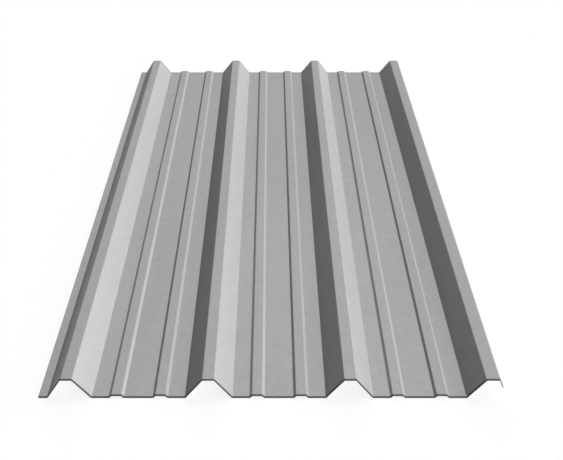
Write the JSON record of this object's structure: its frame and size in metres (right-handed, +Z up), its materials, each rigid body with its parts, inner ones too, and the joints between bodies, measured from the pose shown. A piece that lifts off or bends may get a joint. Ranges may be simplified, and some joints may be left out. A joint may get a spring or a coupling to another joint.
{
  "type": "corrugated metal sheet",
  "caption": "Roll-formed steel roofing and cladding sheet: deep trapezoidal ribs, flat pans with low stiffening ribs, a bearing leg on one side and an overlap lip on the other.",
  "frame": {"origin": "middle of the face that the sheet lies on: half its width, half its length, at the pans' lower face", "axes": "+X across the ribs towards the overlap lip, +Y along the ribs, +Z up, the side that the ribs stand on"},
  "size_m": [0.7898, 1.5, 0.0395],
  "materials": {
    "zinc_coated_steel": "neutral grey zinc coating, satin, with a fine faint spangle and bare cut ends"
  },
  "bodies": {
    "root": {"corrugated_sheet": "zinc_coated_steel"}
  },
  "joints": []
}
